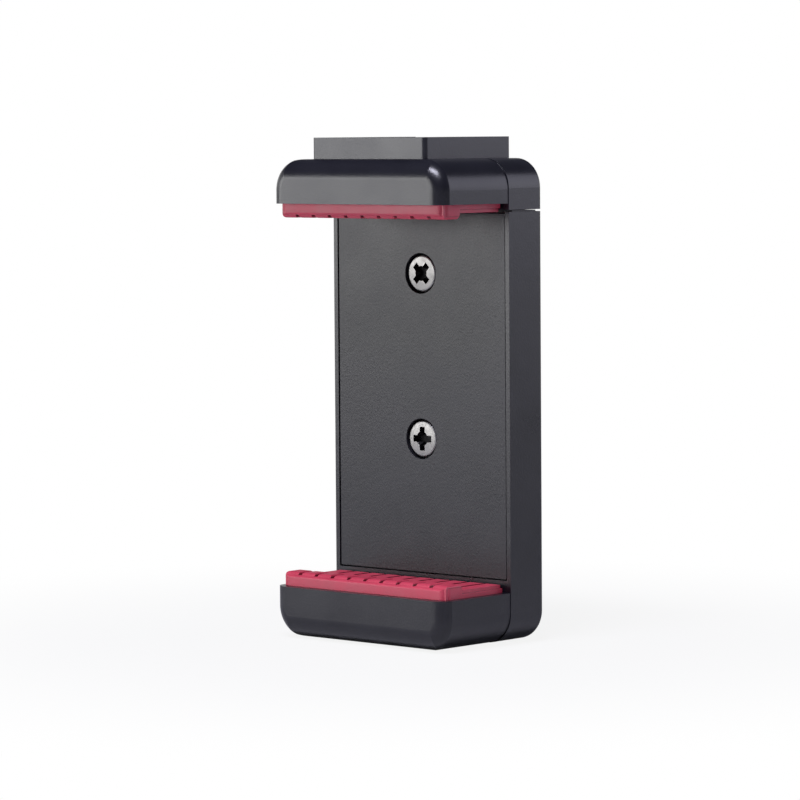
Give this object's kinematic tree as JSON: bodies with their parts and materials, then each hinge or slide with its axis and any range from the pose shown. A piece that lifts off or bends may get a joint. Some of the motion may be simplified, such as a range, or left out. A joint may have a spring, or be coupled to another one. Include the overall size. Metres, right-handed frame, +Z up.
{
  "type": "phone holder",
  "caption": "Spring-loaded phone clamp: a fixed jaw on a hollow column, a sliding upper jaw, ribbed rubber pads and a cold shoe on top.",
  "frame": {"origin": "middle of the underside, at the mouth of the tripod thread", "axes": "+Z up along the column, the way the upper jaw slides; -Y towards the phone side, where the jaws reach out; +X across the column"},
  "size_m": [0.0356, 0.0226, 0.076],
  "materials": {
    "body_plastic": "fine satin moulded texture",
    "jaw_plastic": "fine satin moulded texture",
    "plate_plastic": "matte sheet with fine grain",
    "shoe_plastic": "satin",
    "rubber_pad": "soft matte rubber",
    "screw_steel": "bright zinc plate",
    "spring_steel": "drawn wire",
    "insert_metal": "turned"
  },
  "bodies": {
    "holder_body": {"body_shell": "body_plastic", "front_plate": "plate_plastic", "plate_screw_upper": "screw_steel", "plate_screw_lower": "screw_steel", "tripod_insert": "insert_metal", "lower_pad": "rubber_pad", "body_pin_left": "spring_steel", "body_pin_right": "spring_steel", "spring_left": "spring_steel", "spring_right": "spring_steel"},
    "clamp_jaw": {"upper_jaw": "jaw_plastic", "upper_pad": "rubber_pad", "cold_shoe": "shoe_plastic", "shoe_screw_front": "screw_steel", "shoe_screw_rear": "screw_steel", "slide_pin_left": "spring_steel", "slide_pin_right": "spring_steel"}
  },
  "joints": [
    {"name": "jaw_slide", "type": "slide", "parent": "holder_body", "child": "clamp_jaw", "axis": [0, 0, 1], "range_m": [0, 0.03], "stiffness_N_per_m": 300, "springref_m": -0.03, "deforming": ["spring_left", "spring_right"]}
  ]
}
